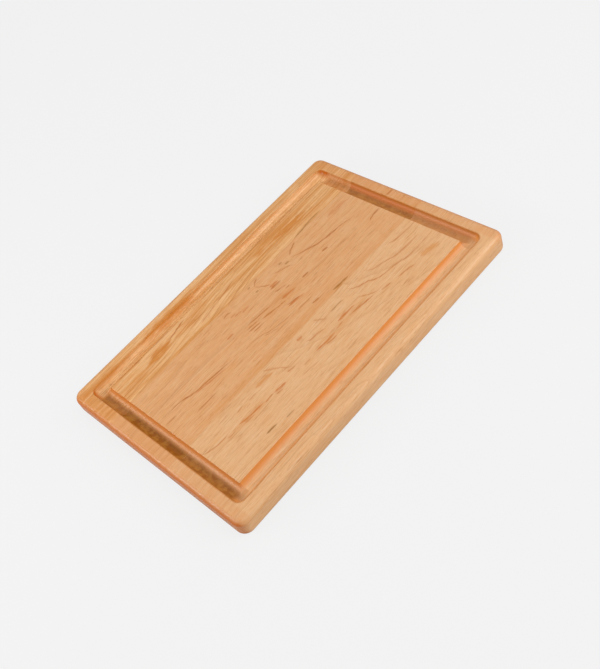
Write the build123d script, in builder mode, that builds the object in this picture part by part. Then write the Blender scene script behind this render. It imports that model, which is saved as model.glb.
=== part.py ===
"""Maple cutting board: three wide planks, edge-glued along the grain, with a juice groove.

The board is modelled the way it is made. The glued-up panel is trimmed to a blank with rounded
corners, both faces get a round-over, and a round-nose cutter runs the groove round the top face.
Each plank and each glue line is then the slice of that board between its own two seams.

Frame: X along the grain and the length, Y across the planks, Z up. The origin is at the middle
of the underside, and the plank nearest -Y is the front one. All sizes are in millimetres.
"""

import os

from build123d import *

# Overall sizes
board_length = 457.0
board_thickness = 28.0
front_plank_width = 119.4
centre_plank_width = 108.0
rear_plank_width = 77.4
glue_line_width = 0.1

# Outline and edges
corner_radius = 12.5
edge_roundover = 7.5

# Juice groove, cut by a round-nose cutter
groove_inset = 27.8  # from the board's edge to the middle of the groove
groove_depth = 8.0
cutter_radius = 9.4
groove_edge_easing = 0.5

# The pieces side by side, from the front edge to the rear edge
pieces_from_front = (
    ("front_plank", front_plank_width),
    ("front_glue_line", glue_line_width),
    ("centre_plank", centre_plank_width),
    ("rear_glue_line", glue_line_width),
    ("rear_plank", rear_plank_width),
)
board_width = sum(width for _, width in pieces_from_front)

# The middle of the groove follows a rectangle with square corners
groove_half_length = board_length / 2 - groove_inset
groove_half_width = board_width / 2 - groove_inset

# The cutter is a ball with a straight shank of the same radius, which reaches above the top face
ball_height = board_thickness - groove_depth + cutter_radius
shank_length = groove_depth + cutter_radius

with BuildPart() as board:
    # Blank: rounded corners, and a round-over all the way round both faces
    with BuildSketch() as blank_outline:
        RectangleRounded(board_length, board_width, corner_radius)
    extrude(amount=board_thickness)
    blank_faces = board.faces().sort_by(Axis.Z)
    fillet(blank_faces[0].edges() + blank_faces[-1].edges(), radius=edge_roundover)

    # Juice groove along both long edges
    with BuildSketch(Plane.YZ.offset(-groove_half_length)) as long_runs:
        with Locations((-groove_half_width, ball_height), (groove_half_width, ball_height)):
            Circle(cutter_radius)
            Rectangle(2 * cutter_radius, shank_length, align=(Align.CENTER, Align.MIN))
    extrude(amount=2 * groove_half_length, mode=Mode.SUBTRACT)

    # Juice groove across both ends
    with BuildSketch(Plane.XZ.offset(-groove_half_width)) as end_runs:
        with Locations((-groove_half_length, ball_height), (groove_half_length, ball_height)):
            Circle(cutter_radius)
            Rectangle(2 * cutter_radius, shank_length, align=(Align.CENTER, Align.MIN))
    extrude(amount=2 * groove_half_width, mode=Mode.SUBTRACT)

    # The cutter turns on the spot at each corner, which rounds the groove's outer corners
    with Locations((0, 0, ball_height)):
        with GridLocations(2 * groove_half_length, 2 * groove_half_width, 2, 2):
            Sphere(cutter_radius, mode=Mode.SUBTRACT)
            Cylinder(
                cutter_radius,
                shank_length,
                align=(Align.CENTER, Align.CENTER, Align.MIN),
                mode=Mode.SUBTRACT,
            )

    # Sanding eases both upper edges of the groove
    cutting_field, rim = board.faces().filter_by(Plane.XY).group_by(Axis.Z)[-1].sort_by(SortBy.AREA)[::-1]
    fillet(cutting_field.edges() + rim.inner_wires()[0].edges(), radius=groove_edge_easing)

print("board volume", board.part.volume, "valid", board.part.is_valid)
os.makedirs("parts", exist_ok=True)

seam = -board_width / 2
for name, width in pieces_from_front:
    with BuildPart() as piece:
        add(board)
        with Locations((0, seam, 0)):
            Box(
                board_length,
                width,
                board_thickness,
                align=(Align.CENTER, Align.MIN, Align.MIN),
                mode=Mode.INTERSECT,
            )
    piece.part.label = name
    export_step(piece.part, f"parts/{name}.step")
    print(name, len(piece.solids()), piece.part.volume, piece.part.is_valid)
    seam += width
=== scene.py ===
"""A maple cutting board in a plain studio: three edge-glued planks with a juice groove.

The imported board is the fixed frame. Each plank and each glue line keeps its own shape and gets its
finish here, and the floor, the lights and the camera are set round it.

The frame is in metres, with X along the grain, Y across the planks from the front one, and Z up.
Patterns in the wood are sized in millimetres, so the wood's shader groups take millimetres.
"""
import logging
import math
from dataclasses import dataclass, field
from enum import Enum

import bmesh
import bpy
from mathutils import Matrix, Vector


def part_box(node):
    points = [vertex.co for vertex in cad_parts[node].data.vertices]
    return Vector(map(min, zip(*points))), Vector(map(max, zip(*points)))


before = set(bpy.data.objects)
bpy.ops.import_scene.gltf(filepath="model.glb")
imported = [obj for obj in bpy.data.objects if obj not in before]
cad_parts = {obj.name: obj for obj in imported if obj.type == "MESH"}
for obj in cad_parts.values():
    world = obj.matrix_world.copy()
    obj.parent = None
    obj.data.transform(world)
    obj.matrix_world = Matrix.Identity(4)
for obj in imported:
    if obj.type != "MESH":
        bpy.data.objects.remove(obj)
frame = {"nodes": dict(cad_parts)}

log = logging.getLogger("cutting_board")

MM_PER_M = 1000.0
# The cuts that the patterns in the wood follow, in millimetres
BOARD_THICKNESS = 28.0
GROOVE_HALF_LENGTH = 200.7
GROOVE_HALF_WIDTH = 124.7
GROOVE_FLOOR = 20.0
CUTTER_RADIUS = 9.4

PATCH_DEPTH = 26.0
# How far the marks wander along X, Y and Z
MARK_WANDER = (5.0, 2.0, 0.0)
# How strongly the wood's threads and pores show
THREAD_SHARE = 0.8
PORE_SHARE = 0.38
# The sanded face's relief, with its depth in metres, and its gloss
BUMP_STRENGTH = 0.15
BUMP_HEIGHT = 0.0003
GLOSS_LEVEL = 0.28
# How much darker the oil leaves the ends, the turn of their round-over, and the rim beside the groove
END_GRAIN_SHARE = 0.78
BURNISH_SHARE = 0.85
RIM_SHARE = 0.22

Colour = tuple[float, float, float]
Point = tuple[float, float, float]
Socket = bpy.types.NodeSocket
Value = float | Socket

ORIGIN: Point = (0.0, 0.0, 0.0)

# Painted sheen: the fibres' sheen painted into the wood's colour as a lit and a shaded tint, at its
# brightest and at its dimmest
PAINTED_SHEEN_LIT: Colour = (1.02, 1.11, 1.24)
PAINTED_SHEEN_SHADED: Colour = (0.96, 0.85, 0.70)
# What the oil does to the cut faces: the ends, then the groove across the grain, then along it. In the
# groove the cross-cut colours also paint shade, and the floor's multiplier paints light
END_GRAIN: Colour = (0.48, 0.115, 0.004)
BURNISHED_EDGE: Colour = (0.50, 0.110, 0.004)
# The cross-cut floor's two colours: partly oil in the torn fibres, partly painted shade in the groove's
# hollow
CROSS_CUT_OIL_AND_SHADE: Colour = (0.305, 0.095, 0.004)
MOTTLED_OIL_AND_SHADE: Colour = (0.46, 0.190, 0.028)
OILED_WALL: Colour = (0.62, 0.180, 0.035)
OILED_LIP: Colour = (0.48, 0.155, 0.015)
OILED_EDGE: Colour = (0.60, 0.195, 0.035)
LONG_WALL: Colour = (0.71, 0.275, 0.068)
# Painted light: a multiplier that pales the floor of the groove's long runs
PAINTED_FLOOR_LIGHT: Colour = (1.09, 1.12, 1.13)
# The glue film, and the film where it is thinnest
CURED_GLUE: Colour = (0.50, 0.27, 0.11)
THIN_GLUE: Colour = (0.66, 0.38, 0.17)
GLUE_SHEEN = 0.45


class Lumps(Enum):
    """How long, wide and high the lumps of each noise in the wood are, in millimetres."""

    BROAD_BEND = (130.0, 60.0, 60.0)
    FINE_BEND = (26.0, 9.0, 9.0)
    TONE = (170.0, 7.0, 7.0)
    SILK = (26.0, 0.9, 0.9)
    THREADS = (24.0, 1.2, 1.2)
    PORES = (9.0, 0.8, 0.8)
    MOTTLE = (7.0, 8.0, 8.0)
    FADING = (60.0, 12.0, 12.0)
    WANDER = (34.0, 9.0, 9.0)
    RAGGED = (13.0, 2.5, 2.5)
    BREAKS = (9.0, 0.6, 0.6)


class Sheet:
    """A shader node tree, with a short call for each kind of node that the wood needs."""

    def __init__(self, tree: bpy.types.NodeTree) -> None:
        """Starts on a tree.

        Args:
            tree: The node tree to fill in.
        """
        self.tree = tree

    def put(self, socket: Socket, value: Value | Colour | Point) -> None:
        """Feeds a socket.

        Args:
            socket: The input to feed.
            value: Another node's output, which is linked, or a plain value, which is set.
        """
        if isinstance(value, bpy.types.NodeSocket):
            self.tree.links.new(value, socket)
        elif socket.type == "RGBA":
            socket.default_value = (*value, 1.0)
        else:
            socket.default_value = value

    def node(self, kind: str, **settings: object) -> bpy.types.Node:
        """Adds a node.

        Args:
            kind: Blender's name for the kind of node.
            **settings: The node's own settings.

        Returns:
            The new node.
        """
        made = self.tree.nodes.new(kind)
        for name, value in settings.items():
            setattr(made, name, value)
        return made

    def math(self, operation: str, a: Value, b: Value = 0.0, c: Value = 0.0) -> Socket:
        """Adds a Math node.

        Args:
            operation: The node's operation.
            a: The first number.
            b: The second number.
            c: The third number.

        Returns:
            The result.
        """
        made = self.node("ShaderNodeMath", operation=operation)
        for socket, value in zip(made.inputs, (a, b, c)):
            self.put(socket, value)
        return made.outputs[0]

    def times(self, first: Value, *others: Value) -> Socket:
        """Multiplies numbers.

        Args:
            first: The first number.
            *others: The rest of them.

        Returns:
            Their product.
        """
        product = first
        for other in others:
            product = self.math("MULTIPLY", product, other)
        return product

    def vector(self, operation: str, a: Socket | Point, b: Socket | Point) -> Socket:
        """Adds a Vector Math node.

        Args:
            operation: The node's operation.
            a: The first vector.
            b: The second vector.

        Returns:
            The result: a number for a length, and otherwise a vector.
        """
        made = self.node("ShaderNodeVectorMath", operation=operation)
        self.put(made.inputs[0], a)
        self.put(made.inputs[1], b)
        return made.outputs["Value" if operation == "LENGTH" else "Vector"]

    def length(self, vector: Socket) -> Socket:
        """Measures a vector."""
        return self.vector("LENGTH", vector, ORIGIN)

    def stretch(self, vector: Socket, by: Value) -> Socket:
        """Scales a vector.

        Args:
            vector: The vector.
            by: The scale.

        Returns:
            The scaled vector.
        """
        made = self.node("ShaderNodeVectorMath", operation="SCALE")
        self.put(made.inputs[0], vector)
        self.put(made.inputs["Scale"], by)
        return made.outputs["Vector"]

    def split(self, vector: Socket) -> tuple[Socket, Socket, Socket]:
        """Takes a vector apart.

        Args:
            vector: The vector.

        Returns:
            Its X, Y and Z.
        """
        made = self.node("ShaderNodeSeparateXYZ")
        self.put(made.inputs[0], vector)
        return made.outputs[0], made.outputs[1], made.outputs[2]

    def join(self, x: Value, y: Value, z: Value) -> Socket:
        """Puts a vector together.

        Args:
            x: Its X.
            y: Its Y.
            z: Its Z.

        Returns:
            The vector.
        """
        made = self.node("ShaderNodeCombineXYZ")
        for socket, value in zip(made.inputs, (x, y, z)):
            self.put(socket, value)
        return made.outputs[0]

    def noise(self, position: Socket, lumps: Lumps, seed: Value, detail: float = 2.0,
              roughness: float = 0.5) -> bpy.types.Node:
        """Adds a noise stretched along the grain.

        Args:
            position: Where, in millimetres.
            lumps: The size of the noise's lumps.
            seed: Which noise.
            detail: How many finer layers it has.
            roughness: How strong the finer layers are.

        Returns:
            The noise node, with a number and a colour, both about 0.5 on average.
        """
        made = self.node("ShaderNodeTexNoise", noise_dimensions="4D")
        self.put(made.inputs["Vector"], self.vector("DIVIDE", position, lumps.value))
        self.put(made.inputs["W"], seed)
        self.put(made.inputs["Scale"], 1.0)
        self.put(made.inputs["Detail"], detail)
        self.put(made.inputs["Roughness"], roughness)
        return made

    def wobble(self, noise: bpy.types.Node) -> Socket:
        """Turns a noise's colour into a shift to either side."""
        return self.vector("SUBTRACT", noise.outputs["Color"], (0.5, 0.5, 0.5))

    def ramp(self, value: Value, low: Value, high: Value, start: Value = 0.0, end: Value = 1.0) -> Socket:
        """Turns one range into another, smoothly.

        Args:
            value: The number.
            low: Where the first range starts.
            high: Where it ends.
            start: What low becomes.
            end: What high becomes.

        Returns:
            The new number, held between start and end.
        """
        made = self.node("ShaderNodeMapRange", interpolation_type="SMOOTHSTEP", clamp=False)
        for socket, number in zip(made.inputs, (value, low, high, start, end)):
            self.put(socket, number)
        return made.outputs[0]

    def span(self, value: Value, rise: tuple[float, float], fall: tuple[float, float]) -> Socket:
        """Picks out the stretch of a range between where it rises and where it falls."""
        return self.times(self.ramp(value, *rise), self.ramp(value, *fall, 1.0, 0.0))

    def blend(self, share: Value, a: Socket | Colour, b: Socket | Colour, how: str = "MIX") -> Socket:
        """Mixes two colours.

        Args:
            share: How much of the second.
            a: The first colour.
            b: The second colour.
            how: The kind of mixing.

        Returns:
            The mixed colour.
        """
        made = self.node("ShaderNodeMix", data_type="RGBA", blend_type=how)
        self.put(made.inputs[0], share)
        self.put(made.inputs[6], a)
        self.put(made.inputs[7], b)
        return made.outputs[2]

    def group(self, tree: bpy.types.NodeTree, **values: Value | Colour | Point) -> bpy.types.Node:
        """Places a shader group.

        Args:
            tree: The group.
            **values: What each input gets, by its name with underscores for spaces.

        Returns:
            The group's node.
        """
        made = self.node("ShaderNodeGroup", node_tree=tree)
        for name, value in values.items():
            self.put(made.inputs[name.replace("_", " ")], value)
        return made


class Port(Enum):
    """The kinds of input and output that a shader group has."""

    NUMBER = "NodeSocketFloat"
    VECTOR = "NodeSocketVector"


def numbers(*names: str) -> dict[str, Port]:
    """Lists number ports by name."""
    return {name: Port.NUMBER for name in names}


class GroupSheet(Sheet):
    """A shader group being drawn up."""

    def __init__(self, name: str, inputs: dict[str, Port], outputs: dict[str, Port]) -> None:
        """Makes the group with its sockets.

        Args:
            name: The group's name.
            inputs: Each input's name and kind.
            outputs: Each output's name and kind.
        """
        super().__init__(bpy.data.node_groups.new(name, "ShaderNodeTree"))
        for direction, ports in (("INPUT", inputs), ("OUTPUT", outputs)):
            for port, kind in ports.items():
                self.tree.interface.new_socket(name=port, in_out=direction, socket_type=kind.value)
        self.given = self.node("NodeGroupInput").outputs
        self.result = self.node("NodeGroupOutput").inputs

    def give(self, **drawn: Socket) -> None:
        """Puts what was drawn out of the group.

        Args:
            **drawn: Each output, by its name with underscores for spaces.
        """
        for name, value in drawn.items():
            self.put(self.result[name.replace("_", " ")], value)


class FinishSheet(Sheet):
    """A material being drawn up."""

    def __init__(self, name: str) -> None:
        """Makes the material.

        Args:
            name: The material's name.
        """
        self.material = bpy.data.materials.new(name)
        self.material.use_nodes = True
        super().__init__(self.material.node_tree)
        self.shader = self.tree.nodes["Principled BSDF"]

    def position(self) -> Socket:
        """Gives the place in the wood, in millimetres."""
        return self.stretch(self.node("ShaderNodeTexCoord").outputs["Object"], MM_PER_M)


class WoodGroups:
    """The shader groups that the planks' finishes share."""

    def __init__(self) -> None:
        """Draws up every group once."""
        self.growth_rings = self.draw_growth_rings()
        self.fibre = self.draw_fibre()
        self.grain_line = self.draw_grain_line()
        self.patch = self.draw_patch()
        self.cut_face = self.draw_cut_face()

    @staticmethod
    def draw_growth_rings() -> bpy.types.NodeTree:
        """Draws the yearly rings of a log whose pith runs under the plank and climbs along it.

        Returns:
            The group.
        """
        inputs = numbers("Pith Side", "Pith Depth", "Climb", "Climb Middle", "Climb Reach", "Drift",
                         "Ring Width", "Line Width", "Waviness", "Seed")
        sheet = GroupSheet("growth_rings", {"Position": Port.VECTOR} | inputs,
                           numbers("Line", "Season", "Year"))
        given = sheet.given
        fine_share, spell_pace, spell_years = 0.12, 0.45, 1.6
        # The pith's own line wanders, which bends every ring with it
        broad = sheet.wobble(sheet.noise(given["Position"], Lumps.BROAD_BEND, given["Seed"], detail=1.0))
        fine = sheet.wobble(sheet.noise(given["Position"], Lumps.FINE_BEND, given["Seed"], detail=1.0))
        shift = sheet.vector("ADD", sheet.stretch(fine, fine_share), broad)
        bent = sheet.vector("ADD", given["Position"], sheet.stretch(shift, given["Waviness"]))
        x, y, z = sheet.split(bent)
        along = sheet.math("DIVIDE", sheet.math("SUBTRACT", x, given["Climb Middle"]), given["Climb Reach"])
        climbed = sheet.times(given["Climb"], given["Climb Reach"], sheet.math("TANH", along))
        depth = sheet.math("SUBTRACT", given["Pith Depth"], climbed)
        up = sheet.math("ADD", sheet.math("SUBTRACT", z, BOARD_THICKNESS), depth)
        side = sheet.math("MULTIPLY_ADD", x, given["Drift"], given["Pith Side"])
        radius = sheet.length(sheet.join(0.0, sheet.math("SUBTRACT", y, side), up))
        years = sheet.math("DIVIDE", radius, given["Ring Width"])
        # Good years and lean years: the rings aren't evenly spaced
        spacing = sheet.node("ShaderNodeTexNoise", noise_dimensions="1D")
        sheet.put(spacing.inputs["W"], sheet.math("MULTIPLY_ADD", years, spell_pace, given["Seed"]))
        sheet.put(spacing.inputs["Scale"], 1.0)
        sheet.put(spacing.inputs["Detail"], 0.0)
        years = sheet.math("MULTIPLY_ADD", spacing.outputs[0], spell_years, years)
        season = sheet.math("FRACT", years)
        lucky = sheet.node("ShaderNodeTexWhiteNoise", noise_dimensions="1D")
        sheet.put(lucky.inputs["W"], sheet.math("ADD", sheet.math("FLOOR", years), given["Seed"]))
        # A line is the dense wood at a year's end: it comes on gently and stops sharply
        start = sheet.math("SUBTRACT", 1.0, sheet.math("DIVIDE", given["Line Width"], given["Ring Width"]))
        sheet.give(Line=sheet.ramp(season, start, 1.0), Season=season, Year=lucky.outputs["Value"])
        return sheet.tree

    @staticmethod
    def draw_fibre() -> bpy.types.NodeTree:
        """Draws the fibres and pores that run along the grain.

        Returns:
            The group.
        """
        sheet = GroupSheet("fibre", {"Position": Port.VECTOR} | numbers("Seed"),
                           numbers("Tone", "Silk", "Threads", "Pores", "Mottle"))
        place, seed = sheet.given["Position"], sheet.given["Seed"]
        tone = sheet.noise(place, Lumps.TONE, seed, detail=3.0, roughness=0.6).outputs[0]
        silk = sheet.noise(place, Lumps.SILK, seed, detail=2.0, roughness=0.6).outputs[0]
        threads = sheet.noise(place, Lumps.THREADS, seed, detail=2.0, roughness=0.65).outputs[0]
        pores = sheet.noise(place, Lumps.PORES, seed, detail=1.0).outputs[0]
        mottle = sheet.noise(place, Lumps.MOTTLE, seed, detail=4.0).outputs[0]
        # The threads crowd where the wood is darker
        crowd = sheet.ramp(tone, 0.35, 0.65, 0.4, 1.0)
        sheet.give(Tone=tone, Silk=silk, Threads=sheet.times(sheet.ramp(threads, 0.53, 0.74), crowd),
                   Pores=sheet.ramp(pores, 0.57, 0.70), Mottle=mottle)
        return sheet.tree

    @staticmethod
    def draw_grain_line() -> bpy.types.NodeTree:
        """Draws one dark grain line in the cutting face, faint at its ends and a little broken.

        Returns:
            The group.
        """
        inputs = numbers("Miss", "Share", "Height", "Start Width", "End Width", "Ragged", "Threads")
        sheet = GroupSheet("grain_line", inputs, numbers("Mask"))
        given = sheet.given
        # The line comes to a point at both ends, and swells and thins along its way
        width = sheet.ramp(given["Share"], 0.0, 1.0, given["Start Width"], given["End Width"])
        pointed = sheet.times(sheet.ramp(given["Share"], -0.02, 0.25, 0.15, 1.0),
                              sheet.ramp(given["Share"], 0.7, 1.02, 1.0, 0.15))
        swell = sheet.ramp(given["Ragged"], 0.3, 0.7, 0.7, 1.9)
        tapered = sheet.times(width, pointed, swell)
        near = sheet.math("DIVIDE", sheet.math("ABSOLUTE", given["Miss"]), tapered)
        core = sheet.ramp(near, 0.3, 1.5, 1.0, 0.0)
        halo = sheet.ramp(near, 0.0, 3.2, 0.25, 0.0)
        fibres = sheet.ramp(given["Threads"], 0.36, 0.56, 0.6, 1.0)
        body = sheet.math("MAXIMUM", sheet.times(core, fibres), halo)
        between = sheet.span(given["Share"], (-0.03, 0.03), (0.97, 1.03))
        near_face = sheet.ramp(given["Height"], BOARD_THICKNESS - 6.0, BOARD_THICKNESS - 1.0)
        sheet.give(Mask=sheet.times(body, between, near_face))
        return sheet.tree

    @staticmethod
    def draw_patch() -> bpy.types.NodeTree:
        """Draws a soft oval place in the wood.

        Returns:
            The group.
        """
        vectors = {name: Port.VECTOR for name in ("Position", "Middle", "Reach")}
        sheet = GroupSheet("patch", vectors | numbers("Ragged", "Threads"), numbers("Mask"))
        given = sheet.given
        away = sheet.vector("DIVIDE", sheet.vector("SUBTRACT", given["Position"], given["Middle"]),
                            given["Reach"])
        rim_bite = 1.4
        uneven = sheet.math("SUBTRACT", 0.5, given["Ragged"])
        away = sheet.math("MULTIPLY_ADD", uneven, rim_bite, sheet.length(away))
        oval = sheet.ramp(away, 0.25, 1.05, 1.0, 0.0)
        streaky = sheet.ramp(given["Threads"], 0.3, 0.6, 0.5, 1.0)
        sheet.give(Mask=sheet.times(oval, streaky))
        return sheet.tree

    @staticmethod
    def draw_cut_face() -> bpy.types.NodeTree:
        """Draws how the cuts run across the wood: open end grain, and the four runs of the groove.

        Two outputs say how much a place belongs to the groove's end runs or long runs. Across goes from 0
        at the groove's inner edge to 1 at its outer edge, and Right is 1 on the board's right half.

        Returns:
            The group.
        """
        outputs = numbers("End Grain", "End Edge", "End Rim", "End Run", "Long Run", "Across", "Lip",
                          "Right")
        sheet = GroupSheet("cut_face", {"Position": Port.VECTOR, "Normal": Port.VECTOR}, outputs)
        given = sheet.given
        x, y, z = sheet.split(given["Position"])
        normal_x, _, normal_z = sheet.split(given["Normal"])
        end_grain = sheet.math("ABSOLUTE", normal_x)
        # The ends are darkest where the round-over starts to turn
        turning = sheet.times(sheet.span(sheet.math("ABSOLUTE", normal_z), (0.0, 0.15), (0.45, 0.75)),
                              sheet.ramp(end_grain, 0.5, 0.8))
        end_miss = sheet.math("SUBTRACT", sheet.math("ABSOLUTE", x), GROOVE_HALF_LENGTH)
        long_miss = sheet.math("SUBTRACT", sheet.math("ABSOLUTE", y), GROOVE_HALF_WIDTH)
        top = sheet.times(sheet.ramp(z, GROOVE_FLOOR - 1.0, GROOVE_FLOOR - 0.5),
                          sheet.ramp(normal_z, -0.1, 0.02))
        end_rim = sheet.times(sheet.ramp(end_miss, CUTTER_RADIUS, CUTTER_RADIUS + 4.0), top)
        # The distance from the groove's middle line; outwards it follows the round corners
        further = sheet.math("MAXIMUM", end_miss, long_miss)
        outwards = sheet.length(sheet.join(sheet.math("MAXIMUM", end_miss, 0.0),
                                           sheet.math("MAXIMUM", long_miss, 0.0), 0.0))
        off_middle = sheet.math("ADD", outwards, sheet.math("MINIMUM", further, 0.0))
        sunk = sheet.ramp(z, BOARD_THICKNESS - 0.5, BOARD_THICKNESS - 0.05, 1.0, 0.0)
        near = sheet.ramp(off_middle, CUTTER_RADIUS + 1.0, CUTTER_RADIUS + 2.0, 1.0, 0.0)
        groove = sheet.times(sunk, near, top)
        # The end runs' tone stops where they meet the rear run, and fades out as they meet the front one
        end_share = sheet.span(y, (-GROOVE_HALF_WIDTH - 5.0, -GROOVE_HALF_WIDTH + 10.0),
                               (GROOVE_HALF_WIDTH - 12.0, GROOVE_HALF_WIDTH - 5.0))
        off_end_run = sheet.math("ABSOLUTE", end_miss)
        beside = sheet.ramp(off_end_run, CUTTER_RADIUS + 0.5, CUTTER_RADIUS + 1.5, 1.0, 0.0)
        end_run = sheet.times(groove, end_share, beside)
        off_lip = sheet.math("ABSOLUTE", sheet.math("SUBTRACT", off_middle, CUTTER_RADIUS))
        sheet.give(End_Grain=end_grain, End_Edge=turning, End_Rim=end_rim, End_Run=end_run,
                   Long_Run=sheet.math("SUBTRACT", groove, end_run),
                   Across=sheet.math("MULTIPLY_ADD", off_middle, 0.5 / CUTTER_RADIUS, 0.5),
                   Lip=sheet.times(sheet.ramp(off_lip, 0.3, 2.0, 1.0, 0.0), top),
                   Right=sheet.ramp(x, -1.0, 1.0))
        return sheet.tree


@dataclass(frozen=True)
class Log:
    """Where a plank lay in its log, in millimetres, which sets the pattern of its rings.

    Attributes:
        pith_side: Where the pith lies across the board, at the board's middle.
        pith_depth: How far the pith lies below the cutting face.
        climb: How steeply the pith comes up towards +X, at its steepest.
        climb_middle: Where along the board it climbs most.
        climb_reach: How far each side of there it goes on climbing.
        drift: How much the pith moves across the board for each millimetre along it.
        ring_width: A year's growth.
        line_width: The dense wood at each year's end.
        waviness: How far the rings wander.
        seed: Which noise.
    """

    pith_side: float
    pith_depth: float
    climb: float
    climb_middle: float
    climb_reach: float
    drift: float
    ring_width: float
    line_width: float
    waviness: float
    seed: float


class Stain(Enum):
    """The colours that the marks in the wood have."""

    RING = (0.45, 0.148, 0.030)
    ARC = (0.52, 0.185, 0.048)
    FLAME = (0.55, 0.180, 0.045)
    MINERAL = (0.30, 0.120, 0.016)
    AMBER = (0.58, 0.205, 0.030)


@dataclass(frozen=True)
class Brush:
    """What the marks in a plank are drawn with.

    Attributes:
        sheet: The material's sheet.
        groups: The shared groups.
        place: X, Y and Z of each place in the wood.
        ragged: A noise that makes the marks uneven.
        threads: A fine noise along the fibres, which breaks the marks up.
    """

    sheet: Sheet
    groups: WoodGroups
    place: tuple[Socket, Socket, Socket]
    ragged: Socket
    threads: Socket


@dataclass(frozen=True)
class Mark:
    """One dark line, streak or smudge in the cutting face, in millimetres.

    Attributes:
        points: Where it runs, as (X, Y) places with X rising.
        width: Its half width at its start and at its end.
        strength: How strongly it shows, from 0 to 1.
    """

    points: tuple[tuple[float, float], ...]
    width: tuple[float, float]
    strength: float

    def mask(self, brush: Brush) -> Socket:
        """Draws the mark.

        Args:
            brush: What to draw it with.

        Returns:
            How strongly the mark shows at each place.
        """
        sheet = brush.sheet
        x, y, z = brush.place
        first, last = self.points[0][0], self.points[-1][0]
        low = min(across for _, across in self.points)
        rise = max(max(across for _, across in self.points) - low, 1.0)
        share = sheet.math("DIVIDE", sheet.math("SUBTRACT", x, first), last - first)
        route = sheet.node("ShaderNodeFloatCurve")
        curve = route.mapping.curves[0]
        for _ in self.points[2:]:
            curve.points.new(0.5, 0.5)
        for point, (along, across) in zip(curve.points, self.points):
            point.location = ((along - first) / (last - first), (across - low) / rise)
        route.mapping.update()
        sheet.put(route.inputs["Value"], share)
        middle = sheet.math("MULTIPLY_ADD", route.outputs[0], rise, low)
        mask = sheet.group(brush.groups.grain_line, Miss=sheet.math("SUBTRACT", y, middle), Share=share,
                           Height=z, Start_Width=self.width[0], End_Width=self.width[1],
                           Ragged=brush.ragged, Threads=brush.threads).outputs["Mask"]
        return sheet.times(mask, self.strength)


@dataclass(frozen=True)
class Patch:
    """A soft oval place in the wood, in millimetres.

    Attributes:
        middle: Its (X, Y) middle.
        reach: How far it goes along X and Y.
        strength: How strongly it shows, from 0 to 1.
        tilt: How much it rises across the board for each millimetre along it.
    """

    middle: tuple[float, float]
    reach: tuple[float, float]
    strength: float
    tilt: float = 0.0

    def mask(self, brush: Brush) -> Socket:
        """Draws the patch.

        Args:
            brush: What to draw it with.

        Returns:
            How strongly the patch shows at each place.
        """
        sheet = brush.sheet
        x, y, z = brush.place
        level = sheet.math("MULTIPLY_ADD", x, -self.tilt, y)
        middle_level = self.middle[1] - self.tilt * self.middle[0]
        mask = sheet.group(brush.groups.patch, Position=sheet.join(x, level, z),
                           Middle=(self.middle[0], middle_level, BOARD_THICKNESS),
                           Reach=(*self.reach, PATCH_DEPTH), Ragged=brush.ragged,
                           Threads=brush.threads).outputs["Mask"]
        return sheet.times(mask, self.strength)


Marks = dict[Stain, tuple[Mark | Patch, ...]]


@dataclass(frozen=True)
class Maple:
    """The finish of one maple plank: its wood, its marks, and an oiled and sanded surface.

    Attributes:
        early: The colour of the wood grown early in the year.
        late: The colour of the ring lines.
        amber: The colour of the warm bands.
        log: Where the plank lay in its log.
        line_strength: How strongly the ring lines show.
        season_strength: How strongly the wood darkens towards each ring line.
        band_strength: How strongly the warm bands show.
        cross_cut: How dark the groove gets across the grain in its left and right runs, which is partly oil
            and partly painted shade.
        groove_walls: How warm the groove's inner and outer walls are where it follows the grain.
        lip_strength: How dark the groove's outer lip is.
        marks: The marks and patches that stand out from the plain grain, by their stain.
    """

    early: Colour
    late: Colour
    amber: Colour
    log: Log
    line_strength: float
    season_strength: float
    band_strength: float
    cross_cut: tuple[float, float]
    groove_walls: tuple[float, float]
    lip_strength: float
    marks: Marks


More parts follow.
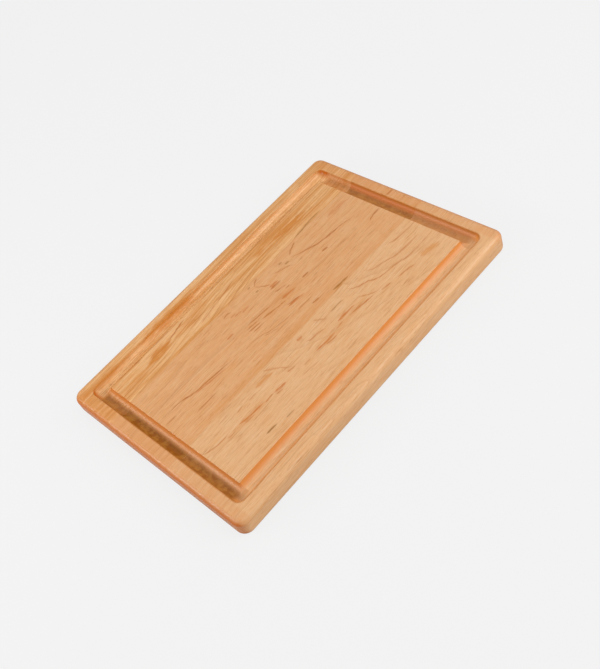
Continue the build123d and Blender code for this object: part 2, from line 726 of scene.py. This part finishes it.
class PlankSheet(FinishSheet):
    """A plank's finish being drawn up."""

    def __init__(self, name: str, wood: Maple, groups: WoodGroups) -> None:
        """Places the groups that the whole finish reads.

        Args:
            name: The material's name.
            wood: The plank's wood.
            groups: The shared groups.
        """
        super().__init__(name)
        self.wood = wood
        self.groups = groups
        self.place = self.position()
        normal = self.node("ShaderNodeNewGeometry").outputs["Normal"]
        self.fibre = self.group(groups.fibre, Position=self.place, Seed=wood.log.seed).outputs
        self.face = self.group(groups.cut_face, Position=self.place, Normal=normal).outputs

    def draw_grain(self) -> Socket:
        """Draws the plain wood: its rings, warm bands, fibres and pores.

        Returns:
            The wood's colour.
        """
        wood, fibre = self.wood, self.fibre
        grown = {name.title(): value for name, value in vars(wood.log).items()}
        rings = self.group(self.groups.growth_rings, Position=self.place, **grown).outputs
        bands = self.ramp(fibre["Tone"], 0.38, 0.68, 0.0, wood.band_strength)
        colour = self.blend(bands, wood.early, wood.amber)
        # Each year's line is stronger or weaker, and fades in and out along the plank
        year = self.math("MULTIPLY_ADD", rings["Year"], 0.8, 0.2)
        fading = self.noise(self.place, Lumps.FADING, wood.log.seed + 3.0).outputs[0]
        fading = self.math("MULTIPLY_ADD", self.ramp(fading, 0.32, 0.66), 0.75, 0.25)
        season = self.times(self.ramp(rings["Season"], 0.25, 1.0), year, wood.season_strength)
        colour = self.blend(season, colour, wood.late)
        colour = self.blend(self.times(rings["Line"], year, fading, wood.line_strength), colour, wood.late)
        # Painted sheen: the silky fibres are tinted lighter and darker by the silk noise; then dark threads
        # and pores
        dim = self.ramp(fibre["Silk"], 0.25, 0.75, 1.0, 0.0)
        colour = self.blend(dim, self.blend(1.0, colour, PAINTED_SHEEN_LIT, "MULTIPLY"),
                            self.blend(1.0, colour, PAINTED_SHEEN_SHADED, "MULTIPLY"))
        colour = self.blend(self.times(fibre["Threads"], THREAD_SHARE), colour, wood.late)
        return self.blend(self.times(fibre["Pores"], PORE_SHARE), colour, wood.late)

    def draw_marks(self, colour: Socket) -> Socket:
        """Adds the marks.

        Args:
            colour: The plain wood's colour.

        Returns:
            The marked wood's colour.
        """
        seed = self.wood.log.seed
        wander = self.noise(self.place, Lumps.WANDER, seed + 11.0, detail=1.0)
        ragged = self.noise(self.place, Lumps.RAGGED, seed + 13.0, detail=1.0).outputs[0]
        threads = self.noise(self.place, Lumps.BREAKS, seed + 17.0, detail=1.0).outputs[0]
        shift = self.vector("MULTIPLY", self.wobble(wander), MARK_WANDER)
        place = self.split(self.vector("ADD", self.place, shift))
        brush = Brush(self, self.groups, place, ragged, threads)
        for stain, marks in self.wood.marks.items():
            total: Value = 0.0
            for mark in marks:
                total = self.math("MAXIMUM", mark.mask(brush), total)
            colour = self.blend(total, colour, stain.value)
        return colour

    def draw_cuts(self, colour: Socket) -> Socket:
        """Adds what the cuts do to the wood: open end grain drinks more oil and darkens, and the groove
        gets painted shade across the grain and painted light on its floor along it.

        Args:
            colour: The uncut wood's colour.

        Returns:
            The cut wood's colour.
        """
        face = self.face
        patchy = self.ramp(self.fibre["Tone"], 0.30, 0.70, 0.75, 1.0)
        not_groove = self.math("SUBTRACT", 1.0, face["End Run"])
        ends = self.ramp(face["End Grain"], 0.1, 0.85, 0.0, END_GRAIN_SHARE)
        colour = self.blend(self.times(ends, not_groove, patchy), colour, END_GRAIN)
        turning = self.times(face["End Edge"], not_groove, BURNISH_SHARE)
        colour = self.blend(turning, colour, BURNISHED_EDGE)
        colour = self.blend(self.times(face["End Rim"], not_groove, RIM_SHARE), colour, OILED_EDGE)
        colour = self.draw_long_runs(self.draw_end_runs(colour))
        return self.blend(self.times(face["Lip"], patchy, self.wood.lip_strength), colour, OILED_LIP)

    def draw_end_runs(self, colour: Socket) -> Socket:
        """Darkens the groove across the grain, partly as oil and partly as painted shade: to its outer side
        on the left, its middle on the right.

        Args:
            colour: The wood's colour so far.

        Returns:
            The new colour.
        """
        across, right, run = self.face["Across"], self.face["Right"], self.face["End Run"]
        left_cut, right_cut = self.wood.cross_cut
        walls = self.times(self.ramp(across, 0.04, 0.24, 0.95, 0.4), run)
        colour = self.blend(walls, colour, OILED_EDGE)
        # The floor's darkening is partly oil in the torn fibres and partly painted shade in the groove's
        # hollow
        left_floor = self.times(self.ramp(across, 0.18, 0.56), self.ramp(across, 0.88, 1.02, 1.0, 0.6))
        right_floor = self.times(self.ramp(across, 0.02, 0.28, 0.6, 0.8),
                                 self.ramp(across, 0.60, 0.86, 1.0, 0.2))
        floor = self.times(self.ramp(right, 0.0, 1.0, left_floor, right_floor), run,
                           self.ramp(right, 0.0, 1.0, left_cut, right_cut))
        mottle = self.ramp(self.fibre["Mottle"], 0.40, 0.60, 0.0, 0.75)
        colour = self.blend(floor, colour, self.blend(mottle, CROSS_CUT_OIL_AND_SHADE, MOTTLED_OIL_AND_SHADE))
        outer = self.times(self.ramp(across, 0.60, 0.86), right, right_cut, run)
        return self.blend(outer, colour, OILED_WALL)

    def draw_long_runs(self, colour: Socket) -> Socket:
        """Warms the groove's walls where it follows the grain, and pales its floor with painted light.

        Args:
            colour: The wood's colour so far.

        Returns:
            The new colour.
        """
        across, run = self.face["Across"], self.face["Long Run"]
        inner_wall, outer_wall = self.wood.groove_walls
        inner = self.ramp(across, 0.06, 0.37, inner_wall, 0.0)
        outer = self.ramp(across, 0.55, 0.85, 0.0, outer_wall)
        colour = self.blend(self.times(self.math("MAXIMUM", inner, outer), run), colour, LONG_WALL)
        # Painted light: the long runs' floor is paled towards its middle
        floor_light_share = self.times(self.ramp(across, 0.15, 0.42), self.ramp(across, 0.68, 1.0, 1.0, 0.95), run)
        return self.blend(floor_light_share, colour, PAINTED_FLOOR_LIGHT, "MULTIPLY")

    def draw(self) -> bpy.types.Material:
        """Draws the finish: the colour, the sheen and the relief.

        Returns:
            The material.
        """
        fibre, face, shader = self.fibre, self.face, self.shader
        colour = self.draw_cuts(self.draw_marks(self.draw_grain()))
        self.put(shader.inputs["Base Color"], colour)
        # Fine sanding closes the end grain, so the ends shine most
        satin = self.ramp(fibre["Silk"], 0.2, 0.8, 0.46, 0.36)
        shine = self.times(self.ramp(face["End Grain"], 0.3, 0.7, 0.0, 0.15),
                           self.math("SUBTRACT", 1.0, face["End Run"]))
        self.put(shader.inputs["Roughness"], self.math("SUBTRACT", satin, shine))
        bump = self.node("ShaderNodeBump")
        self.put(bump.inputs["Strength"], BUMP_STRENGTH)
        self.put(bump.inputs["Distance"], BUMP_HEIGHT)
        self.put(bump.inputs["Height"], self.math("SUBTRACT", fibre["Silk"], fibre["Pores"]))
        self.put(shader.inputs["Normal"], bump.outputs[0])
        shader.inputs["Specular IOR Level"].default_value = GLOSS_LEVEL
        return self.material


class GlueSheet(FinishSheet):
    """The finish of a cured glue line being drawn up: a thin amber film, barely darker than the wood."""

    def draw(self, groups: WoodGroups) -> bpy.types.Material:
        """Draws the finish, paler where the film is thinnest.

        Args:
            groups: The shared groups.

        Returns:
            The material.
        """
        tone = self.group(groups.fibre, Position=self.position(), Seed=1.0).outputs["Tone"]
        colour = self.blend(self.ramp(tone, 0.3, 0.7), CURED_GLUE, THIN_GLUE)
        self.put(self.shader.inputs["Base Color"], colour)
        self.put(self.shader.inputs["Roughness"], GLUE_SHEEN)
        return self.material


FRONT_MARKS: Marks = {
    Stain.ARC: (
        Mark(((-191, -52.7), (-182, -58.7), (-162, -61.3), (-155, -60.4)), (0.7, 0.6), 0.9),
        Mark(((-160, -65), (-148, -66)), (0.6, 0.5), 0.9),
        Mark(((-131, -50), (-120, -48.7)), (0.6, 0.4), 0.75),
        Mark(((-112, -50), (-96, -49.7)), (0.6, 0.4), 0.75),
        Mark(((-120, -55), (-112, -54)), (0.5, 0.4), 0.6),
        Mark(((-135, -68.7), (-119, -69.3)), (0.6, 0.5), 0.75),
        Mark(((-102, -68.7), (-88, -68)), (0.7, 0.5), 1.0),
        Mark(((-87, -72.7), (-77, -74)), (0.6, 0.5), 0.9),
        Mark(((-74, -35), (-67, -41), (-60, -49), (-56, -55), (-50, -60)), (1.1, 1.1), 0.675),
        Mark(((-59, -62), (-47, -64)), (0.8, 0.5), 1.0),
        Mark(((-43, -72), (-30, -72.4)), (0.6, 0.5), 0.9),
        Mark(((-6, -76), (11, -77.3)), (0.7, 0.7), 1.0),
        Mark(((-16, -51), (-8, -55), (2, -56), (10, -58.7)), (0.9, 0.8), 0.75),
        Mark(((-54, -81), (-28, -83)), (0.6, 0.5), 0.525),
        Mark(((12, -38), (16, -43), (21, -50)), (1.3, 1.3), 0.6),
        Mark(((16, -70.7), (30, -70)), (0.7, 0.6), 1.0),
        Mark(((40, -70.7), (60, -74), (78, -76.8)), (0.8, 1.0), 1.0),
        Mark(((68, -37), (70, -45), (78, -52), (90, -57), (98, -63.5), (114, -68.7)), (1.0, 0.9), 0.9),
        Mark(((108, -68), (129, -70.7), (146, -75), (174, -76), (191, -75)), (0.8, 0.8), 0.75),
        Mark(((98, -35), (102, -44), (110, -51), (121, -53.7), (140, -60.7), (180, -63.6)),
             (1.0, 0.8), 0.75),
        Mark(((147, -35), (149, -41), (158, -44), (189, -47)), (1.0, 0.8), 0.675),
        Mark(((65, -63), (78, -72.7), (85, -77)), (0.9, 0.9), 0.75),
        Mark(((87, -80.5), (103, -82.8)), (0.8, 0.7), 0.9),
        Mark(((112, -84.7), (125, -87.3), (139, -90.8)), (0.8, 0.7), 0.9),
    ),
    Stain.FLAME: (
        Mark(((-140, -63.3), (-128, -65.3), (-102, -67.3)), (1.4, 0.7), 1.0),
        Mark(((-88, -68.7), (-70, -70)), (0.8, 1.5), 1.0),
        Mark(((-20, -71.3), (-4, -72.2), (12, -72.7)), (0.9, 1.3), 1.0),
        Mark(((-21, -41.6), (-12, -42.6)), (1.6, 1.4), 0.825),
        Mark(((26, -65), (40, -65.1), (55, -66.7)), (1.5, 0.9), 1.0),
    ),
    Stain.MINERAL: (
        Mark(((-132, -98.6), (-115, -99.6)), (0.9, 0.7), 1.0),
        Mark(((-104, -103.2), (-90, -104.1)), (0.7, 0.5), 0.6),
        Mark(((31, -48), (44, -47.7), (54, -50.3)), (0.8, 0.7), 0.6),
    ),
    Stain.AMBER: (
        Mark(((-94, -44), (-68, -46.7)), (2.6, 2.0), 0.6),
        Mark(((150, -88.5), (180, -93.5)), (3.5, 3.0), 0.525),
        Patch((-120, -66), (46, 7), 0.25),
        Patch((30, -71), (60, 9), 0.25),
    ),
}

FRONT_MAPLE = Maple(
    early=(0.735, 0.425, 0.212),
    late=(0.46, 0.19, 0.06),
    amber=(0.67, 0.335, 0.125),
    log=Log(pith_side=-30.0, pith_depth=220.0, climb=0.11, climb_middle=40.0, climb_reach=130.0,
            drift=0.0, ring_width=3.6, line_width=0.9, waviness=9.0, seed=2.0),
    line_strength=0.28,
    season_strength=0.12,
    band_strength=0.35,
    cross_cut=(0.9, 0.5),
    groove_walls=(1.0, 0.9),
    lip_strength=0.75,
    marks=FRONT_MARKS,
)

CENTRE_MARKS: Marks = {
    Stain.RING: (
        Mark(((-176, 22), (-158, 21), (-140, 15.6), (-112, 12.4), (-82, 9)), (0.8, 0.9), 1.0),
        Mark(((-188, 12), (-171, 11)), (0.7, 0.5), 0.9),
        Mark(((-157, -7.5), (-120, -7.3)), (0.6, 0.5), 0.9),
        Mark(((-61, 3), (-54, 6), (-43, 4.7), (-22, -3.3), (-5, -6.7), (12, -7.3)), (0.7, 0.7), 0.6),
        Mark(((-36, -0.7), (-18, -8.7)), (0.6, 0.6), 0.525),
        Mark(((14, -10), (38, -11)), (0.6, 0.5), 0.675),
        Mark(((-44, 61), (-38, 65), (-31, 62)), (0.8, 0.8), 0.825),
        Mark(((13.5, 64.7), (18, 69.5), (25, 72.5)), (0.9, 0.7), 0.825),
        Mark(((13.5, 64.7), (18, 57), (27, 48.5)), (0.9, 1.1), 0.825),
        Mark(((20, 43), (39, 42)), (0.9, 0.7), 1.0),
        Mark(((-41, 24), (-21, 23)), (0.7, 0.6), 0.9),
        Mark(((-41, 20), (-21, 18)), (0.7, 0.6), 0.975),
        Mark(((-39, 15), (-21, 14)), (0.7, 0.6), 0.825),
        Mark(((-35, 29), (-12, 26.7), (3, 24)), (0.7, 0.6), 0.975),
        Mark(((-19, 19.7), (11, 14)), (0.8, 0.6), 1.0),
        Mark(((20, 35), (38, 31)), (0.8, 0.6), 0.975),
        Mark(((31, 27), (39, 26.7)), (0.7, 0.6), 0.9),
        Mark(((9, 15), (18, 14)), (0.9, 0.6), 1.0),
        Mark(((13, 6.7), (33, 2.7)), (0.8, 0.7), 1.0),
        Mark(((30, -19.3), (41, -19.6)), (0.8, 0.7), 1.0),
        Mark(((40, 59), (48, 54), (60, 49), (66, 42)), (0.9, 1.0), 0.6),
        Mark(((73.5, 57.5), (77, 63), (85, 67), (95, 71.5)), (0.9, 0.8), 0.975),
        Mark(((73.5, 57.5), (81, 52), (98, 44.7), (112, 39.3), (132, 36.7), (161, 31.2)), (0.9, 0.8), 1.0),
        Mark(((99, 26.8), (108, 25.2)), (0.8, 0.7), 1.0),
        Mark(((55, 20), (66, 19.7)), (0.8, 0.6), 1.0),
        Mark(((168, 5.5), (176, 8.7), (190, 9.8)), (0.8, 0.7), 1.0),
        Mark(((98, -20), (121, -20.4)), (0.6, 0.5), 0.6),
        Mark(((212, 15), (225, 15)), (0.9, 0.8), 0.9),
    ),
    Stain.FLAME: (
        Mark(((-140, 14), (-106, 8.2), (-94, 6.7)), (0.8, 0.7), 0.9),
        Mark(((-64, 36), (-53, 37)), (1.3, 0.9), 1.0),
        Mark(((-37, 57), (-28, 56.6)), (0.9, 0.8), 0.675),
        Mark(((-34, 53.4), (-23, 52.8)), (0.9, 0.8), 0.675),
        Mark(((-26, 49.2), (-12, 50)), (0.9, 0.8), 0.675),
        Mark(((22, 45.8), (37, 44.8)), (1.7, 1.2), 0.9),
        Mark(((16, 19.3), (39, 16.7)), (1.6, 1.2), 1.0),
        Mark(((12, 4), (38, 1)), (0.8, 1.0), 1.0),
        Mark(((147, 60.7), (164, 60.7), (186, 57.2)), (2.6, 2.0), 0.525),
    ),
    Stain.MINERAL: (
        Mark(((5.5, 70), (10, 70)), (0.8, 0.8), 0.75),
        Mark(((7.5, 57), (12, 57)), (0.8, 0.8), 0.75),
        Mark(((58, -28.4), (85, -29.5)), (1.1, 0.8), 1.0),
        Mark(((55, 62), (61, 62)), (0.9, 0.8), 0.675),
        Mark(((60, 55), (67, 55)), (0.9, 0.8), 0.675),
    ),
    Stain.AMBER: (
        Patch((-10, -27), (250, 8), 0.3),
        Patch((10, 20), (60, 14), 0.22),
    ),
}

CENTRE_MAPLE = Maple(
    early=(0.715, 0.378, 0.172),
    late=(0.44, 0.17, 0.05),
    amber=(0.65, 0.305, 0.10),
    log=Log(pith_side=61.5, pith_depth=46.0, climb=0.11, climb_middle=28.0, climb_reach=72.0,
            drift=-0.02, ring_width=3.0, line_width=0.9, waviness=8.0, seed=5.0),
    line_strength=0.3,
    season_strength=0.03,
    band_strength=0.45,
    cross_cut=(1.0, 0.9),
    groove_walls=(0.0, 0.0),
    lip_strength=0.7,
    marks=CENTRE_MARKS,
)

REAR_MARKS: Marks = {
    Stain.RING: (
        Mark(((-104, 102), (-90, 106), (-69, 110.5)), (0.9, 0.9), 1.0),
        Mark(((-33, 90), (10, 99)), (0.8, 0.6), 0.75),
        Mark(((-66, 84), (-28, 92)), (0.7, 0.7), 0.675),
        Mark(((-206, 114.6), (-150, 115), (-60, 114.8)), (1.0, 0.7), 0.825),
        Mark(((-60, 114.8), (40, 115), (190, 114.8)), (0.7, 0.6), 0.525),
        Mark(((-136, 99), (-120, 100.5), (-104, 99.5)), (1.6, 1.4), 1.0),
        Mark(((-80, 133), (-64, 133.6), (-48, 133)), (1.6, 1.2), 1.0),
    ),
    Stain.FLAME: (
        Mark(((87, 101.5), (102, 94), (114, 93)), (0.9, 0.8), 1.0),
    ),
    Stain.MINERAL: (
        Mark(((98, 75.2), (119, 76.8), (128, 77.7), (153, 77.8)), (0.8, 0.9), 0.75),
        Patch((-205.5, 110.5), (8, 8), 0.7),
        Patch((-186, 127), (4, 2), 0.6),
    ),
    Stain.AMBER: (
        Patch((-122, 99.5), (26, 9), 1.0, 0.12),
        Patch((-165, 92), (40, 8), 0.5, 0.1),
        Patch((-60, 104), (50, 9), 0.55, 0.12),
        Patch((59, 102), (14, 6), 0.9, 0.05),
        Patch((108, 97), (44, 9), 1.0, -0.06),
        Patch((92, 104), (52, 15), 0.5),
        Patch((150, 84), (60, 7), 0.4),
        Patch((-74, 134), (66, 9), 1.0),
        Patch((-190, 134), (50, 6), 0.75),
        Patch((60, 133.5), (140, 3.0), 0.3),
        Patch((-214, 90), (16, 22), 0.4),
    ),
}

REAR_MAPLE = Maple(
    early=(0.79, 0.445, 0.20),
    late=(0.42, 0.15, 0.028),
    amber=(0.60, 0.235, 0.04),
    log=Log(pith_side=50.0, pith_depth=60.0, climb=0.14, climb_middle=-30.0, climb_reach=120.0,
            drift=0.0, ring_width=3.0, line_width=1.2, waviness=7.0, seed=9.0),
    line_strength=0.7,
    season_strength=0.30,
    band_strength=0.8,
    cross_cut=(0.7, 0.12),
    groove_walls=(0.15, 0.0),
    lip_strength=0.2,
    marks=REAR_MARKS,
)


@dataclass
class CuttingBoard:
    """The glued board: three planks and the two glue lines between them.

    Attributes:
        nodes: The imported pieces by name.
    """

    nodes: dict[str, bpy.types.Object]

    def dress(self, piece: str, material: bpy.types.Material) -> None:
        """Gives a piece its finish.

        Args:
            piece: The piece's name.
            material: The finish.
        """
        self.nodes[piece].material_slots[0].material = material
        low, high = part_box(piece)
        size = " x ".join(f"{extent * MM_PER_M:.1f}" for extent in high - low)
        log.info("%s: %s mm, finished in %s", piece, size, material.name)

    def finish(self, groups: WoodGroups) -> None:
        """Finishes every piece.

        Args:
            groups: The shared groups.
        """
        for place, wood in (("front", FRONT_MAPLE), ("centre", CENTRE_MAPLE), ("rear", REAR_MAPLE)):
            self.dress(f"{place}_plank", PlankSheet(f"maple_{place}", wood, groups).draw())
        glue = GlueSheet("cured_glue").draw(groups)
        for place in ("front", "rear"):
            self.dress(f"{place}_glue_line", glue)


def direction(azimuth: float, elevation: float) -> Vector:
    """Works out a direction from the board.

    Args:
        azimuth: Degrees round from the front, towards +X.
        elevation: Degrees above the floor.

    Returns:
        A vector of length 1.
    """
    turn = math.radians(azimuth)
    rise = math.radians(elevation)
    return Vector((math.sin(turn) * math.cos(rise), -math.cos(turn) * math.cos(rise), math.sin(rise)))


@dataclass(frozen=True)
class Softbox:
    """A soft white studio light.

    Attributes:
        azimuth: Degrees round from the front, towards +X.
        elevation: Degrees above the floor.
        distance: Metres from the board.
        size: Its width and height in metres.
        power: Watts.
        aim: Where it points, in metres.
    """

    azimuth: float
    elevation: float
    distance: float
    size: tuple[float, float]
    power: float
    aim: Point = (0.0, 0.0, 0.028)

    def place(self, name: str) -> None:
        """Adds the light to the scene.

        Args:
            name: The light's name.
        """
        light = bpy.data.lights.new(name, "AREA")
        light.shape = "RECTANGLE"
        light.size, light.size_y = self.size
        light.energy = self.power
        holder = bpy.data.objects.new(name, light)
        away = direction(self.azimuth, self.elevation)
        holder.location = Vector(self.aim) + away * self.distance
        holder.rotation_euler = away.to_track_quat("Z", "Y").to_euler()
        bpy.context.scene.collection.objects.link(holder)
        log.info("%s: %.0f W from azimuth %.0f, elevation %.0f", name, self.power,
                 self.azimuth, self.elevation)


@dataclass(frozen=True)
class Studio:
    """The plain floor, the lights and the camera.

    Attributes:
        floor_size: The floor's width, in metres.
        floor_shade: How pale the floor looks.
        floor_bounce: How much light it throws back.
        floor_evenness: How little the light and the board's shade show on it, from 0 to 1.
        room_light: How bright the light from all round is.
        room_shade: How pale the room looks behind the floor.
        softboxes: The softboxes by name.
        aim: Where on the cutting face the camera looks, in metres.
        azimuth: The camera's turn from the front, in degrees.
        elevation: The camera's height above the floor, in degrees.
        roll: How far the camera leans to its left, in degrees.
        distance: From the camera to where it looks, in metres.
        lens: The camera's lens, in millimetres.
        sensor: The sensor's long side, in millimetres.
    """

    floor_size: float = 30.0
    floor_shade: float = 0.925
    floor_bounce: float = 0.6
    floor_evenness: float = 0.88
    room_light: float = 0.585
    room_shade: float = 0.88
    softboxes: dict[str, Softbox] = field(default_factory=lambda: {
        "key": Softbox(azimuth=28.0, elevation=50.0, distance=6.0, size=(3.2, 3.2), power=99.0),
        "gloss": Softbox(azimuth=34.0, elevation=30.0, distance=1.3, size=(0.42, 0.42), power=5.0,
                         aim=(0.10, -0.05, 0.02)),
        "side": Softbox(azimuth=-100.0, elevation=26.0, distance=4.0, size=(2.0, 1.2), power=28.0),
        "edge": Softbox(azimuth=-131.0, elevation=25.0, distance=1.0, size=(0.6, 0.03), power=3.3,
                        aim=(-0.228, -0.06, 0.026)),
    })
    aim: Point = (-0.01175, -0.03808, 0.028)
    azimuth: float = -27.61
    elevation: float = 47.913
    roll: float = 25.311
    distance: float = 1.07518
    lens: float = 50.312
    sensor: float = 36.0

    def lay_floor(self) -> None:
        """Lays a plain pale floor that takes only a faint shade."""
        plan = bpy.data.meshes.new("floor")
        shape = bmesh.new()
        bmesh.ops.create_grid(shape, x_segments=1, y_segments=1, size=self.floor_size / 2)
        shape.to_mesh(plan)
        shape.free()
        floor = bpy.data.objects.new("floor", plan)
        bpy.context.scene.collection.objects.link(floor)
        sheet = FinishSheet("pale_floor")
        matt = sheet.node("ShaderNodeBsdfDiffuse")
        sheet.put(matt.inputs["Color"], (self.floor_bounce,) * 3)
        glow = sheet.node("ShaderNodeEmission")
        sheet.put(glow.inputs["Color"], (self.floor_shade,) * 3)
        # Looked at, the floor is mostly its own even shade; the board sees it as a matt floor
        seen = sheet.node("ShaderNodeLightPath").outputs["Is Camera Ray"]
        mixed = sheet.node("ShaderNodeMixShader")
        sheet.put(mixed.inputs[0], sheet.times(seen, self.floor_evenness))
        sheet.put(mixed.inputs[1], matt.outputs[0])
        sheet.put(mixed.inputs[2], glow.outputs[0])
        sheet.put(sheet.tree.nodes["Material Output"].inputs["Surface"], mixed.outputs[0])
        floor.data.materials.append(sheet.material)

    def light(self) -> None:
        """Sets the light from all round, and the softboxes."""
        world = bpy.data.worlds.new("room")
        world.use_nodes = True
        world.node_tree.nodes["Background"].inputs["Color"].default_value = (1.0, 1.0, 1.0, 1.0)
        # Behind the floor, the room looks as pale as the floor
        sheet = Sheet(world.node_tree)
        seen = sheet.node("ShaderNodeLightPath").outputs["Is Camera Ray"]
        strength = sheet.ramp(seen, 0.0, 1.0, self.room_light, self.room_shade)
        sheet.put(world.node_tree.nodes["Background"].inputs["Strength"], strength)
        bpy.context.scene.world = world
        for name, softbox in self.softboxes.items():
            softbox.place(name)

    def set_camera(self) -> None:
        """Sets the camera by where it looks, from what direction, and how it leans."""
        away = direction(self.azimuth, self.elevation)
        level = away.to_track_quat("Z", "Y").to_matrix().to_4x4()
        lean = Matrix.Rotation(-math.radians(self.roll), 4, "Z")
        camera_data = bpy.data.cameras.new("camera")
        camera_data.lens = self.lens
        camera_data.sensor_width = self.sensor
        camera_data.sensor_fit = "AUTO"
        camera_data.clip_start = 0.05
        camera = bpy.data.objects.new("camera", camera_data)
        camera.matrix_world = Matrix.Translation(Vector(self.aim) + away * self.distance) @ level @ lean
        bpy.context.scene.collection.objects.link(camera)
        bpy.context.scene.camera = camera
        bpy.context.scene.view_settings.view_transform = "Standard"


def main() -> None:
    """Builds the scene and reports each piece."""
    logging.basicConfig(level=logging.INFO, format="%(name)s: %(message)s")
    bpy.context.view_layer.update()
    studio = Studio()
    studio.set_camera()
    studio.lay_floor()
    studio.light()
    CuttingBoard(frame["nodes"]).finish(WoodGroups())


if __name__ == "__main__":
    main()
